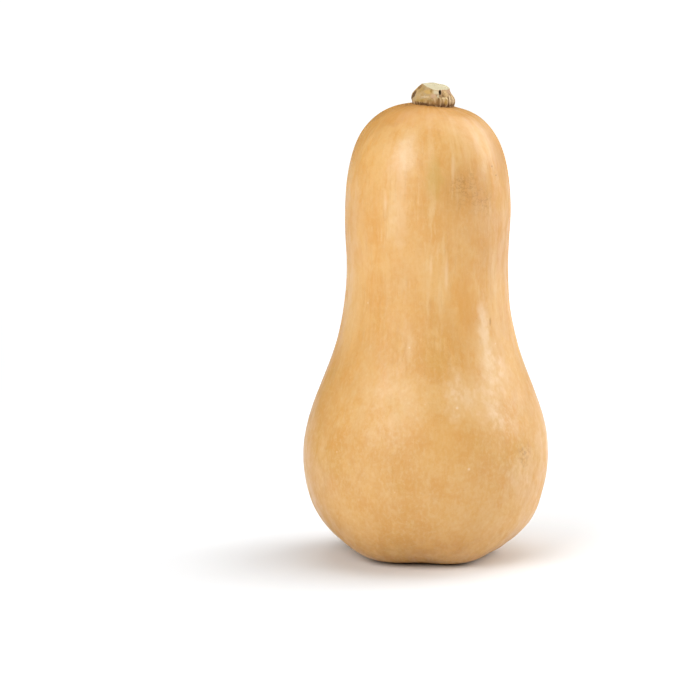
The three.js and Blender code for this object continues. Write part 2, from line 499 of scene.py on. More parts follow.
reliefs = [skin_relief(vertex.co, grain_point) for vertex, grain_point in zip(body.data.vertices, grain)]
moves = [vertex.co + vertex.normal * relief for vertex, relief in zip(body.data.vertices, reliefs)]
body.data.vertices.foreach_set("co", [number for place in moves for number in place])
pick(body)
bpy.ops.object.shade_smooth()
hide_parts("squash_body")
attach(body, "root")
print("the skin moves by", round(min(reliefs) / MM, 2), "to", round(max(reliefs) / MM, 2), "mm")

# %% [markdown]
# ## The stub of the stalk
#
# A squash is cut from its vine with a knife, and keeps a stub of the stalk. The stub is dry and woody,
# has five rounded ridges, and swells into a foot where it joins the fruit. Here the knife went through
# at a slant, and more cuts took off its left and back. It is modelled the way it came about: first the
# ridged stalk, by extruding rings and drawing in the columns between the ridges, then the cuts, by
# bisecting it with planes and filling each cut, and then the hollows, with simple cutters: a scoop on
# the left, a shallow notch on the right, and a narrow pit between them. Its rings, as height and
# radius, its cuts and its hollows are written in millimetres from the middle of its foot.

# %% Grow the ridged stalk
RIDGES = 5
COLUMNS_PER_RIDGE = 8
FRONT_RIDGE = math.radians(-81)
STALK_LEAN = math.radians(7)
STALK_ROOT = (-4.0, 9.4)
STALK_RINGS = [(-1.4, 10.4), (0.5, 11.2), (2.3, 11.0), (3.7, 9.6), (5.0, 8.4), (6.6, 7.5), (13.0, 7.2)]
BULGE_LEVELS = mm(3, 7)
BULGE_SIDE = -5 * MM
BULGE_REACH = 1.3 * MM
GROOVE_DEPTHS = {0: 0.84, 1: 0.90, 2: 0.96}
FOOT_TOP = 3 * MM
FOOT_GROOVE_SHARE = 0.35


def grow_stalk():
    """The stub before the knife, grown upright on the origin, ring by ring."""
    start_fresh()
    height, radius = STALK_ROOT[0] * MM, STALK_ROOT[1] * MM
    sides = RIDGES * COLUMNS_PER_RIDGE
    bpy.ops.mesh.primitive_circle_add(
        vertices=sides, radius=radius, location=(0, 0, height), fill_type="NGON"
    )
    stalk = bpy.context.object
    stalk.name = "stem_stub"
    put_place_in_mesh(stalk)
    bpy.ops.object.mode_set(mode="EDIT")
    for ring_height, ring_radius in STALK_RINGS:
        rise = ring_height * MM - height
        height = height + rise
        extrude_ring((0, 0, height), rise, ring_radius * MM / radius)
        radius = ring_radius * MM
    return stalk


def column_of(place):
    """Which column a place is in, counted from the middle of the nearest groove."""
    turn = (math.atan2(place.y, place.x) - FRONT_RIDGE) / (2 * math.pi) * RIDGES
    from_groove = abs(turn - math.floor(turn) - 0.5)
    return round(from_groove * COLUMNS_PER_RIDGE)


def draw_in_grooves(stalk):
    """Draws the columns between the ridges towards the axis, less at the foot."""
    for column, depth in GROOVE_DEPTHS.items():
        foot_depth = 1 - (1 - depth) * FOOT_GROOVE_SHARE
        select_where(stalk, lambda place: column_of(place) == column and place.z > FOOT_TOP)
        bpy.ops.transform.resize(value=(depth, depth, 1), center_override=(0, 0, 0))
        select_where(stalk, lambda place: column_of(place) == column and place.z <= FOOT_TOP)
        bpy.ops.transform.resize(value=(foot_depth, foot_depth, 1), center_override=(0, 0, 0))


def push_out_left(stalk):
    """The foot reaches further up on the left."""
    low, high = BULGE_LEVELS
    select_where(stalk, lambda place: low < place.z < high and place.x < BULGE_SIDE)
    bpy.ops.transform.translate(value=(-BULGE_REACH, 0, 0))


def stand_on_crown(stalk):
    """Puts the stub on its seat, which slopes down to the right."""
    bpy.ops.mesh.select_all(action="SELECT")
    bpy.ops.mesh.normals_make_consistent(inside=False)
    bpy.ops.object.mode_set(mode="OBJECT")
    stalk.location = STEM_AXIS
    stalk.rotation_euler = (0, STALK_LEAN, 0)
    put_place_in_mesh(stalk)


stem = grow_stalk()
draw_in_grooves(stem)
push_out_left(stem)
stand_on_crown(stem)
subdivide_smoothly(stem, 2)
count(stem)

# %% Cut it with the knife
CUT_TOP = (Vector((0, 0, 8.2)), Vector((0.19, -0.24, 1)))
CUT_LEFT_FRONT = (Vector((-5.2, -1, 9.0)), Vector((-1, -0.92, 1)))
CUT_LEFT_BACK = (Vector((-5.2, -1, 9.0)), Vector((-0.55, 0.52, 0.65)))
CUT_BACK = (Vector((-0.7, 3.8, 9.0)), Vector((0.18, 1, 0.5)))
KNIFE_CUTS = [CUT_TOP, CUT_LEFT_FRONT, CUT_LEFT_BACK, CUT_BACK]


def cut_with_knife(stalk, through, facing):
    """Takes off everything past a plane and closes the cut."""
    pick(stalk)
    bpy.ops.object.mode_set(mode="EDIT")
    bpy.ops.mesh.select_all(action="SELECT")
    place = STEM_AXIS + through * MM
    bpy.ops.mesh.bisect(plane_co=place, plane_no=facing, use_fill=True, clear_outer=True)
    bpy.ops.object.mode_set(mode="OBJECT")


for through, facing in KNIFE_CUTS:
    cut_with_knife(stem, through, facing)
count(stem)

# %% Hollow it out
HOLLOWS = {
    "right_notch": (Vector((6.0, -9.3, 4.2)), Vector((1.75, 4.0, 1.85)), 4),
    "left_scoop": (Vector((-5.6, -10.6, 6.3)), Vector((6.3, 5.6, 4.6)), 12),
    "pit": (Vector((3.5, -7.2, 4.7)), Vector((0.5, 2.6, 1.35)), 0),
}
NOTCH_ROUNDING = 0.6 * MM


def hollow_out(stalk, name, centre, half_sizes, tilt):
    """Takes a hollow out of the stalk: a notch with flat sides, or an egg-shaped one."""
    start_fresh()
    place = STEM_AXIS + centre * MM
    if name == "right_notch":
        bpy.ops.mesh.primitive_cube_add(size=2, location=place)
    else:
        bpy.ops.mesh.primitive_ico_sphere_add(subdivisions=4, radius=1, location=place)
    cutter = bpy.context.object
    cutter.name = name
    cutter.scale = half_sizes * MM
    cutter.rotation_euler = (0, math.radians(tilt), 0)
    put_place_in_mesh(cutter)
    if name == "right_notch":
        apply_modifier(cutter, "BEVEL", width=NOTCH_ROUNDING, segments=2)
    apply_modifier(stalk, "BOOLEAN", object=cutter, operation="DIFFERENCE", solver="EXACT")
    bpy.data.objects.remove(cutter)


for name, (centre, half_sizes, tilt) in HOLLOWS.items():
    hollow_out(stem, name, centre, half_sizes, tilt)
apply_modifier(stem, "REMESH", mode="VOXEL", voxel_size=0.2 * MM)
apply_modifier(stem, "SMOOTH", factor=0.5, iterations=3)
count(stem)

# %% [markdown]
# The cutters leave a surface as clean as a machined one. Dry stalk is not: its foot is wrinkled from
# top to bottom where it shrank, and the knife tore its fibres. Both are moved into the mesh the same
# way as the skin's relief. Three numbers are stored for the finish at the same time: whether a vertex
# is on the fresh top cut, whether it is on bark, and how high it is over the crown.

# %% Tell the bark from the cuts
CUT_FACING = 0.8
CUT_MARGIN = mm(0.2, 0.6)
HOLLOW_MARGIN = (1.03, 1.12)


def bark_share(place, normal):
    """1 on the bark, 0 on a face that the knife left."""
    share = 1
    for through, facing in KNIFE_CUTS:
        away = abs((place - STEM_AXIS - through * MM).dot(facing.normalized()))
        if normal.dot(facing.normalized()) > CUT_FACING:
            share = min(share, ease(away, *CUT_MARGIN))
    for name in ("right_notch", "left_scoop"):
        centre, half_sizes, tilt = HOLLOWS[name]
        turned = Matrix.Rotation(math.radians(-tilt), 3, "Y") @ (place - STEM_AXIS - centre * MM)
        reach = Vector(along / (half * MM) for along, half in zip(turned, half_sizes)).length
        share = min(share, ease(reach, *HOLLOW_MARGIN))
    return share


barks = [bark_share(vertex.co, vertex.normal) for vertex in stem.data.vertices]
print("bark covers", round(100 * sum(barks) / len(barks)), "% of the stub")

# %% Wrinkle the stalk
SEEDS.update({"fibres": 5.5, "wrinkles": 2.2, "small wrinkles": 6.1, "chips": 9.4})
WRINKLE_SIZE = 1.5 * MM
WRINKLE_RELIEF = 0.42 * MM
WRINKLE_STRETCH = 0.16
SMALL_WRINKLE_RELIEF = 0.5 * WRINKLE_RELIEF
UPPER_WRINKLES = 0.35
FIBRE_SIZE = 0.55 * MM
FIBRE_RELIEF = 0.11 * MM
FIBRE_STRETCH = 0.35
CHIP_SIZE = 2.6 * MM
CHIP_RELIEF = 0.22 * MM
FOOT_FADE = (FOOT_TOP, 1.8 * FOOT_TOP)


def drawn_up(place, stretch):
    """A place for reading noise that is drawn out upwards."""
    return Vector((place.x, place.y, place.z * stretch))


def stalk_relief(place, bark):
    """How far a place on the stub is moved outwards: fibres, chips of the knife, and the bark's wrinkles."""
    fibres = FIBRE_RELIEF * lumps(drawn_up(place, FIBRE_STRETCH), FIBRE_SIZE, "fibres")
    upright = drawn_up(place, WRINKLE_STRETCH)
    wrinkles = WRINKLE_RELIEF * lumps(upright, WRINKLE_SIZE, "wrinkles")
    wrinkles += SMALL_WRINKLE_RELIEF * lumps(upright, WRINKLE_SIZE / 2, "small wrinkles")
    foot = 1 - ease(place.z - STEM_AXIS.z, *FOOT_FADE)
    chips = CHIP_RELIEF * lumps(place, CHIP_SIZE, "chips")
    return fibres + chips * (1 - foot) + wrinkles * bark * (UPPER_WRINKLES + (1 - UPPER_WRINKLES) * foot)


moves = []
for vertex, bark in zip(stem.data.vertices, barks):
    moves.append(vertex.co + vertex.normal * stalk_relief(vertex.co, bark))
print("stub from", [round(min(place[axis] for place in moves), 4) for axis in range(3)])
print("stub to", [round(max(place[axis] for place in moves), 4) for axis in range(3)])

# %% Store the stalk's marks
FRESH_FACING = (0.75, 0.92)
FRESH_DEPTH = mm(-0.7, -0.25)
RISE_UNIT = 10 * MM

top_facing = CUT_TOP[1].normalized()
marks = []
for vertex, bark in zip(stem.data.vertices, barks):
    over_cut = (vertex.co - STEM_AXIS - CUT_TOP[0] * MM).dot(top_facing)
    fresh = ease(vertex.normal.dot(top_facing), *FRESH_FACING) * ease(over_cut, *FRESH_DEPTH)
    marks.append(Vector((fresh, bark, (vertex.co.z - STEM_AXIS.z) / RISE_UNIT)))
stem.data.vertices.foreach_set("co", [number for place in moves for number in place])
stored = stem.data.attributes.new("stalk_marks", "FLOAT_VECTOR", "POINT")
stored.data.foreach_set("vector", [number for mark in marks for number in mark])
pick(stem)
bpy.ops.object.shade_smooth()
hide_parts("stem")
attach(stem, "root")
print("fresh cut on", sum(mark.x > 0.5 for mark in marks), "of", len(marks), "vertices")

# %% [markdown]
# ## Finishes written as sums
#
# Both finishes are worked out from noise, with no picture. A node tree of fifty nodes is hard to read,
# so we write the sums as Python: a value stands for one socket, and adding or multiplying two values
# adds the Math node that does it. Every other node comes from one method.

# %% Values and finishes


class Value:
    """One socket of a finish's nodes. A sum of values adds its Math nodes."""

    def __init__(self, finish, socket):
        self.finish = finish
        self.socket = socket

    def maths(self, operation, first, second):
        return self.finish.node("ShaderNodeMath", {"operation": operation}, {0: first, 1: second})

    def __add__(self, other):
        return self.maths("ADD", self, other)

    def __radd__(self, other):
        return self.maths("ADD", other, self)

    def __sub__(self, other):
        return self.maths("SUBTRACT", self, other)

    def __rsub__(self, other):
        return self.maths("SUBTRACT", other, self)

    def __mul__(self, other):
        return self.maths("MULTIPLY", self, other)

    def __rmul__(self, other):
        return self.maths("MULTIPLY", other, self)


class Finish:
    """A material and the nodes that it is made of."""

    def __init__(self, name):
        self.material = bpy.data.materials.new(name)
        self.material.use_nodes = True
        self.nodes = self.material.node_tree.nodes
        self.links = self.material.node_tree.links
        self.shader = self.nodes["Principled BSDF"]

    def plug(self, value, socket):
        """Joins a value to a socket, or sets the socket to a plain number or colour."""
        if isinstance(value, Value):
            self.links.new(value.socket, socket)
        else:
            socket.default_value = value

    def node(self, kind, settings, inputs, output=0):
        """Adds a node, sets it, fills its sockets and gives back one of its outputs."""
        made = self.nodes.new(kind)
        for name, setting in settings.items():
            setattr(made, name, setting)
        for key, value in inputs.items():
            self.plug(value, made.inputs[key])
        return Value(self, made.outputs[output])

    def noise(self, place, size, detail=3.0, roughness=0.5):
        """Noise from 0 to 1 with patches of about the given size."""
        inputs = {"Vector": place, "Scale": 1 / size, "Detail": detail, "Roughness": roughness}
        return self.node("ShaderNodeTexNoise", {}, inputs)

    def between(self, value, start, end):
        """0 at start and 1 at end, with a smooth step between them."""
        inputs = {"Value": value, "From Min": start, "From Max": end}
        return self.node("ShaderNodeMapRange", {"interpolation_type": "SMOOTHSTEP"}, inputs)

    def tint(self, colour, other, mask, way="MIX"):
        """Lays another colour over a colour where the mask is 1."""
        settings = {"data_type": "RGBA", "blend_type": way}
        return self.node("ShaderNodeMix", settings, {0: mask, 6: colour, 7: other}, output=2)

    def glaze(self, colour, layers):
        """Lays several colours over a colour, each of them where its pattern goes from start to end."""
        for other, strength, pattern, start, end in layers:
            colour = self.tint(colour, other, strength * self.between(pattern, start, end))
        return colour

    def stretch(self, place, factors):
        return self.node("ShaderNodeVectorMath", {"operation": "MULTIPLY"}, {0: place, 1: factors})

    def drifted(self, place, size, detail, reach):
        """The place moved by noise, by half the reach at most, so that regions get an uneven edge."""
        inputs = {"Vector": place, "Scale": 1 / size, "Detail": detail}
        wander = self.node("ShaderNodeTexNoise", {}, inputs, output="Color")
        middle = {0: wander, 1: (0.5, 0.5, 0.5)}
        from_middle = self.node("ShaderNodeVectorMath", {"operation": "SUBTRACT"}, middle)
        moved = self.stretch(from_middle, reach)
        return self.node("ShaderNodeVectorMath", {"operation": "ADD"}, {0: place, 1: moved})

    def spot(self, place, centre, half_sizes, turn=(0, 0, 0), edge=0.3):
        """1 in the middle of an egg-shaped region and 0 outside it."""
        inputs = {"Vector": place, "Location": centre, "Rotation": turn, "Scale": half_sizes}
        inner = self.node("ShaderNodeMapping", {"vector_type": "TEXTURE"}, inputs)
        reach = self.node("ShaderNodeVectorMath", {"operation": "LENGTH"}, {0: inner}, output="Value")
        return self.between(reach, 1, edge)

    def bump(self, height, distance):
        """A bump that is the given distance high where the height is 1."""
        inputs = {"Height": height, "Distance": distance, "Strength": 1.0}
        return self.node("ShaderNodeBump", {}, inputs)

    def set_surface(self, **sockets):
        """Fills the shader's sockets, named with _ for each space."""
        for name, value in sockets.items():
            self.plug(value, self.shader.inputs[name.replace("_", " ")])


def paint(red, green, blue):
    """A colour as a screen shows it, 0 to 255, turned into the light that it stands for."""
    shares = [number / 255 for number in (red, green, blue)]
    light = [share / 12.92 if share <= 0.04045 else ((share + 0.055) / 1.055) ** 2.4 for share in shares]
    return (*light, 1)


# %% [markdown]
# ## The skin's finish
#
# The rind is a honey tan, never one flat colour. From far to near it shows broad clouds of peach and
# of yellow tan, wide and fine streaks along the grain, and a fine mottle. Each is one layer of noise:
# clouds read the place in space, streaks read the stored grain, stretched along the skin. We lay them
# over each other like glazes. Every row of the table is a colour, how strongly it is laid, the pattern
# that it follows, and the pattern's values where it starts and where it is full.

# %% Find the skin's patterns
GRAIN_WANDER_SIZE = 9 * MM
GRAIN_WANDER = 2.4 * MM
NECK_LEVELS = mm(70, 130)

skin = Finish("squash_skin_finish")
skin_place = skin.node("ShaderNodeTexCoord", {}, {}, output="Object")
straight_grain = skin.node("ShaderNodeAttribute", {"attribute_name": "skin_grain"}, {}, output="Vector")
wander_inputs = {"Vector": skin_place, "Scale": 1 / GRAIN_WANDER_SIZE}
wander = skin.node("ShaderNodeTexNoise", {}, wander_inputs, output="Color")
drift = skin.stretch(wander, (GRAIN_WANDER, GRAIN_WANDER, GRAIN_WANDER))
skin_grain = skin.node("ShaderNodeVectorMath", {"operation": "ADD"}, {0: straight_grain, 1: drift})
skin_height_up = skin.node("ShaderNodeSeparateXYZ", {}, {0: skin_place}, output="Z")
on_neck = skin.between(skin_height_up, *NECK_LEVELS)

clouds = skin.noise(skin_place, 42 * MM, detail=4)
small_clouds = skin.noise(skin.stretch(skin_place, (1, 1, 0.6)), 9 * MM, detail=5, roughness=0.6)
wide_streaks = skin.noise(skin.stretch(skin_grain, (1, 1, 0.14)), 6 * MM, detail=3)
fine_streaks = skin.noise(skin.stretch(skin_grain, (1, 1, 0.12)), 1.6 * MM, detail=3, roughness=0.6)
streak_places = skin.noise(skin_place, 16 * MM, detail=2)
mottle = skin.noise(skin.stretch(skin_place, (1, 1, 0.7)), 1.6 * MM, detail=4, roughness=0.6)
blotches = skin.noise(skin_place, 4 * MM, detail=5, roughness=0.65)
print("the skin's patterns take", len(skin.nodes), "nodes")

# %% Glaze the skin with clouds and streaks
HONEY = paint(207, 156, 90)
PEACH = paint(216, 170, 106)
YELLOW_TAN = paint(204, 155, 77)
ORANGE = paint(207, 147, 68)
CREAM = paint(222, 192, 144)
DUSK_AND_SHADE = paint(180, 127, 68)
BULB_STREAKING = 0.12
NECK_STREAKING = 0.5
LEAST_STREAKING = 0.4
BULB_MOTTLING = 0.28
NECK_MOTTLING = 0.14

streaking = BULB_STREAKING + (NECK_STREAKING - BULB_STREAKING) * on_neck
streaking = streaking * (LEAST_STREAKING + skin.between(streak_places, 0.4, 0.6))
mottling = BULB_MOTTLING - (BULB_MOTTLING - NECK_MOTTLING) * on_neck
SKIN_GLAZES = [
    (PEACH, 1, clouds, 0.42, 0.66),
    (YELLOW_TAN, 0.8, clouds, 0.5, 0.3),
    (ORANGE, 0.45, small_clouds, 0.5, 0.68),
    (PEACH, 0.55, small_clouds, 0.48, 0.32),
    (ORANGE, 0.7 * streaking, wide_streaks, 0.5, 0.64),
    (CREAM, 0.5 * streaking, wide_streaks, 0.46, 0.32),
    (DUSK_AND_SHADE, 0.3 * streaking, fine_streaks, 0.48, 0.28),
    (CREAM, 0.4 * streaking, fine_streaks, 0.56, 0.76),
    (ORANGE, mottling, mottle, 0.45, 0.75),
    (CREAM, mottling, mottle, 0.55, 0.25),
    (ORANGE, 0.7 * mottling, blotches, 0.5, 0.65),
    (CREAM, 0.5 * mottling, blotches, 0.48, 0.34),
]
skin_colour = skin.glaze(HONEY, SKIN_GLAZES)
print("the skin has", len(SKIN_GLAZES), "glazes")

# %% [markdown]
# The marks come last. The broad ones are faint: orange blushes on the crown, on the waist and low on the
# bulb, a greenish one in the middle of the neck and a dusky one on its right. With them are painted light
# and shade: painted highlights on the neck's left, on the right shoulder and on the waist, where the wax
# also lies thick, a faint painted sheen down the bulb's right edge, and painted shade down the right edge of
# the neck and shoulder. More painted highlights, broken into ragged spots, lie on the bulb. Each is an
# egg-shaped region, given by its centre and its half sizes in millimetres. The places that it is worked out
# from are first drifted by noise, so its edge is uneven.

# %% Wash the skin with tones, painted highlights and painted shade
DRIFT_SIZE = 5 * MM
DRIFT_REACH = mm(9, 9, 15)
BLUSH_EDGE = 0.2
GREENISH = paint(196, 160, 84)
PALE_AND_HIGHLIGHT = paint(232, 204, 166)
WASHES_AND_PAINTED_LIGHT = [
    (ORANGE, 0.6, (-14, -20, 220), (11, 10, 6)),
    (DUSK_AND_SHADE, 0.3, (-15, -22, 218), (7, 8, 4)),
    (ORANGE, 0.7, (-6, -6, 226), (36, 40, 20)),
    (DUSK_AND_SHADE, 0.25, (32, -24, 163), (20, 20, 38)),
    # The next two rows are painted shade down the right edge of the neck and shoulder.
    (DUSK_AND_SHADE, 0.35, (38, -12, 200), (14, 16, 34)),
    (DUSK_AND_SHADE, 0.35, (40, -8, 158), (12, 20, 30)),
    (GREENISH, 0.5, (4, -39, 192), (6, 6, 17)),
    (ORANGE, 0.6, (19, -36, 134), (9, 9, 26)),
    (PEACH, 0.2, (18, -54, 76), (30, 20, 26)),
    (ORANGE, 0.2, (11, -58, 66), (17, 14, 20)),
    (ORANGE, 0.25, (16, -50, 16), (40, 20, 14)),
    (ORANGE, 0.2, (22, -52, 40), (34, 20, 18)),
    # The rest are painted light: a faint sheen down the bulb's right edge, highlights on the neck's left and
    # the right shoulder, and one on the waist, where the wax also lies thick.
    (PALE_AND_HIGHLIGHT, 0.12, (58, -8, 76), (12, 34, 46)),
    (PALE_AND_HIGHLIGHT, 0.4, (-9, -34, 202), (8, 10, 19)),
    (PALE_AND_HIGHLIGHT, 0.25, (-12, -38, 175), (5.5, 8, 24)),
    (PALE_AND_HIGHLIGHT, 0.2, (18, -24, 214), (15, 10, 9)),
    (PALE_AND_HIGHLIGHT, 0.45, (28, -32, 121), (4.4, 7, 17)),
]

uneven_place = skin.drifted(skin_place, DRIFT_SIZE, 4.0, DRIFT_REACH)


def region(place, centre, half_sizes, edge=0.0):
    """1 in the middle of an egg-shaped region of the skin, given in millimetres."""
    return skin.spot(place, mm(*centre), mm(*half_sizes), edge=edge)


for colour, strength, centre, half_sizes in WASHES_AND_PAINTED_LIGHT:
    colour_wash = region(uneven_place, centre, half_sizes, BLUSH_EDGE)
    skin_colour = skin.tint(skin_colour, colour, strength * colour_wash)
print("the skin has", len(WASHES_AND_PAINTED_LIGHT), "blushes")

# %% Paint highlights on the bulb, and pale lines
PAINTED_GLARE_EDGE = 0.3
# Each row is a painted highlight on the bulb: its strength, its centre and its half sizes in millimetres.
PAINTED_GLARES = [
    (0.3, (34, -36, 101), (12, 12, 20)),
    (0.25, (26, -46, 86), (18, 14, 17)),
    (0.3, (14, -50, 88), (7, 10, 26)),
    (0.32, (34, -44, 76), (8, 8, 9)),
    (0.22, (46, -38, 48), (14, 14, 17)),
]
PALE_LINES = [(13, -38, 197, 10), (10, -38, 146, 14), (-19.5, -34, 180, 9), (2.5, -38, 150, 9)]
LINE_STRENGTH = 0.4
LINE_WIDTH = 1.3
LINE_DEPTH = 8
LEAST_GLINT_BREAKUP = 0.5
GLINT_BREAKUP = 1.1

# Noise breaks the painted highlights into ragged spots.
glints = skin.noise(skin.stretch(skin_place, (1, 1, 0.7)), 3.6 * MM, detail=4, roughness=0.55)
glint_breakup = LEAST_GLINT_BREAKUP + GLINT_BREAKUP * skin.between(glints, 0.4, 0.64)
for strength, centre, half_sizes in PAINTED_GLARES:
    painted_glare = region(uneven_place, centre, half_sizes, PAINTED_GLARE_EDGE)
    skin_colour = skin.tint(skin_colour, PALE_AND_HIGHLIGHT, strength * painted_glare * glint_breakup)
for x, y, z, half_length in PALE_LINES:
    line = region(skin_place, (x, y, z), (LINE_WIDTH, LINE_DEPTH, half_length))
    skin_colour = skin.tint(skin_colour, PALE_AND_HIGHLIGHT, LINE_STRENGTH * line)
print("the wax flakes in", len(PAINTED_GLARES), "places and is worn thin in", len(PALE_LINES), "lines")

# %% [markdown]
# The small marks are the ones of growing and handling: a brown scuff with fine cracks on the right of the
# neck, where another fruit rubbed it, a scratch beside the waist, a mottled patch on the bulb's right, corky
# specks and pores, a few dots, brown marks on the left of the stalk, and the corky scar. A faint ring of
# painted shade lies round the stalk's foot, and the skin is darker in patches towards the bottom.

# %% Scuff and scratch the skin
SCUFF = paint(160, 110, 50)
UPPER_SCUFF = (19, -36, 188), (13, 10, 11)
LOWER_SCUFF = (27, -31, 181), (11, 10, 11)
SCUFF_VEIL = (18, -34, 188), (27, 24, 29)
MOTTLED_PATCH = (48, -37, 58), (10, 10, 8)
SCRATCH = (31.6, -27.6, 121.5), (0.6, 6, 2.6)
LOWER_SHARE = 0.7
VEIL_STRENGTH = 0.26
GRAIN_STRENGTH = 0.3
CRACK_STRENGTH = 0.55
PATCH_STRENGTH = 0.5
SCRATCH_STRENGTH = 0.5

scuff_grain = skin.noise(skin.stretch(skin_place, (1, 1, 1.2)), 2.2 * MM, detail=4, roughness=0.6)
crack_waves = skin.noise(skin.stretch(skin_place, (1, 1, 1.3)), 4 * MM, detail=4, roughness=0.6)
cracks = skin.between(crack_waves, 0.455, 0.5) * skin.between(crack_waves, 0.545, 0.5)
scuff = region(uneven_place, *UPPER_SCUFF) + LOWER_SHARE * region(uneven_place, *LOWER_SCUFF)
scuff_marks = scuff * (GRAIN_STRENGTH * skin.between(scuff_grain, 0.48, 0.66) + CRACK_STRENGTH * cracks)
patch = region(uneven_place, *MOTTLED_PATCH) * skin.between(scuff_grain, 0.4, 0.62)
skin_colour = skin.tint(skin_colour, SCUFF, VEIL_STRENGTH * region(skin_place, *SCUFF_VEIL))
skin_colour = skin.tint(skin_colour, SCUFF, scuff_marks)
skin_colour = skin.tint(skin_colour, SCUFF, PATCH_STRENGTH * patch)
skin_colour = skin.tint(skin_colour, SCUFF, SCRATCH_STRENGTH * region(skin_place, *SCRATCH, edge=0.3))
print("with its scuffs the finish has", len(skin.nodes), "nodes")

# %% Add specks, pores and dots
CORK = paint(232, 208, 174)
SPECK_SPACING = 7 * MM
PORE_SPACING = 2.2 * MM
PALE_DOTS = [(15.4, -51.9, 82.7), (21.2, -57.6, 53.8)]
PALE_DOT_SIZES = (1.1, 3, 1)
BROWN_DOTS = [(32, -22.7, 197), (34, -21, 192.5)]
BROWN_DOT_SIZES = (0.7, 3, 0.7)

speck_cells = {"Vector": skin_place, "Scale": 1 / SPECK_SPACING, "Randomness": 1.0}
speck_reach = skin.node("ShaderNodeTexVoronoi", {}, speck_cells, output="Distance")
speck_chance = skin.node("ShaderNodeTexVoronoi", {}, speck_cells, output="Color")
speck_pick = skin.node("ShaderNodeSeparateXYZ", {}, {0: speck_chance}, output="X")
specks = skin.between(speck_reach, 0.1, 0.04) * skin.between(speck_pick, 0.85, 0.87)
pore_cells = {"Vector": skin_place, "Scale": 1 / PORE_SPACING}
pore_reach = skin.node("ShaderNodeTexVoronoi", {}, pore_cells, output="Distance")
pores = skin.between(pore_reach, 0.2, 0.0)
skin_colour = skin.tint(skin_colour, CORK, 0.4 * specks)
for centre in PALE_DOTS:
    skin_colour = skin.tint(skin_colour, CORK, 0.7 * region(skin_place, centre, PALE_DOT_SIZES))
for centre in BROWN_DOTS:
    skin_colour = skin.tint(skin_colour, SCUFF, 0.8 * region(skin_place, centre, BROWN_DOT_SIZES))
skin_colour = skin.tint(skin_colour, DUSK_AND_SHADE, 0.2 * pores)
print("the skin has", len(PALE_DOTS) + len(BROWN_DOTS), "dots of its own")

# %% Paint shade round the collar, colour the scar and darken the foot
COLLAR_BROWN_AND_SHADE = paint(161, 113, 60)
SCAR = paint(112, 84, 54)
LOW_BROWN = paint(170, 118, 64)
LEFT_COLLAR = (-9.5, -4, 226), (6, 8, 5)
LOW_LEVELS = mm(26, 4)

collar = skin.spot(skin_place, tuple(STEM_AXIS), mm(17, 17, 9), edge=0.5)
left_collar = region(uneven_place, *LEFT_COLLAR, edge=0.3)
collar_marks = left_collar * (0.2 + 0.45 * skin.between(scuff_grain, 0.44, 0.6))
scar = skin.spot(skin_place, (FOOT_AXIS_X, 0, MEAN_DIMPLE), mm(8, 8, 4), edge=0.6)
# The skin is darker in patches towards the bottom.
low_darkening = skin.between(skin_height_up, *LOW_LEVELS) * skin.between(small_clouds, 0.4, 0.62)
skin_colour = skin.tint(skin_colour, LOW_BROWN, 0.25 * low_darkening)
# Painted shade: a faint dark ring round the stalk's foot.
skin_colour = skin.tint(skin_colour, COLLAR_BROWN_AND_SHADE, 0.12 * collar)
skin_colour = skin.tint(skin_colour, COLLAR_BROWN_AND_SHADE, collar_marks)
skin_colour = skin.tint(skin_colour, SCAR, scar)
print("with all its marks the finish has", len(skin.nodes), "nodes")

# %% [markdown]
# The gloss is as uneven as the colour. Wax lies on the rind in patches, so the light breaks up into
# spots with ragged edges. The roughness follows the wax, a thin coat lies where the wax is, and a
# low bump carries what is too fine for the mesh: streaks, mottle, pores and specks.

# %% Wax and fine relief of the skin
WAX_ROUGHNESS = 0.42
DRY_ROUGHNESS = 0.55
LEAST_COAT = 0.17
WAX_COAT = 0.34
THICK_COAT = 0.15
THICK_WAX = (28, -32, 121), (4.2, 7, 17)
SKIN_BUMP = 0.35 * MM

wax_noise = skin.noise(skin.stretch(skin_grain, (1, 1, 0.5)), 7 * MM, detail=5, roughness=0.65)
wax = skin.between(wax_noise, 0.4, 0.6)
thick_wax = region(uneven_place, *THICK_WAX, edge=0.4)
skin_roughness = DRY_ROUGHNESS - (DRY_ROUGHNESS - WAX_ROUGHNESS) * wax
skin_roughness = skin_roughness + 0.2 * collar + 0.3 * scar + 0.1 * scuff
skin_height = 0.3 * fine_streaks + 0.35 * mottle + 0.3 * small_clouds + 0.3 * blotches
skin_height = skin_height + 0.2 * specks - 0.1 * pores
skin.set_surface(
    Base_Color=skin_colour,
    Roughness=skin_roughness,
    Specular_IOR_Level=0.25,
    Coat_Weight=LEAST_COAT + WAX_COAT * wax + THICK_COAT * thick_wax,
    Coat_Roughness=0.4,
    Subsurface_Weight=0.06,
    Subsurface_Radius=(1.0, 0.5, 0.2),
    Subsurface_Scale=2 * MM,
    Normal=skin.bump(skin_height, SKIN_BUMP),
)
body.data.materials.append(skin.material)
print("skin finish has", len(skin.nodes), "nodes")

# %% [markdown]
# ## The stalk's finish
#
# Dry stalk is matt and the colour of straw. Where the knife went last it is pale cream, the older cuts have
# turned tan, the bark is brown in its folds and lighter on its ribs, with a trace of green, and painted
# shade darkens it where it meets the crown and fills the pit in front. The stored marks say where each of
# these is, and noise drawn out upwards gives the fibres.

# %% Colour the stalk
STRAW = paint(178, 150, 106)
OLD_CUT = paint(184, 148, 92)
FRESH_CUT_AND_HIGHLIGHT = paint(203, 192, 157)
BARK_BROWN = paint(128, 94, 50)
BARK_RIB = paint(194, 162, 114)
OLIVE = paint(146, 118, 56)
PINKISH = paint(192, 156, 124)
PALE_RIB_AND_HIGHLIGHT = paint(210, 184, 146)
DARK_BARK_AND_SHADE = paint(92, 62, 30)

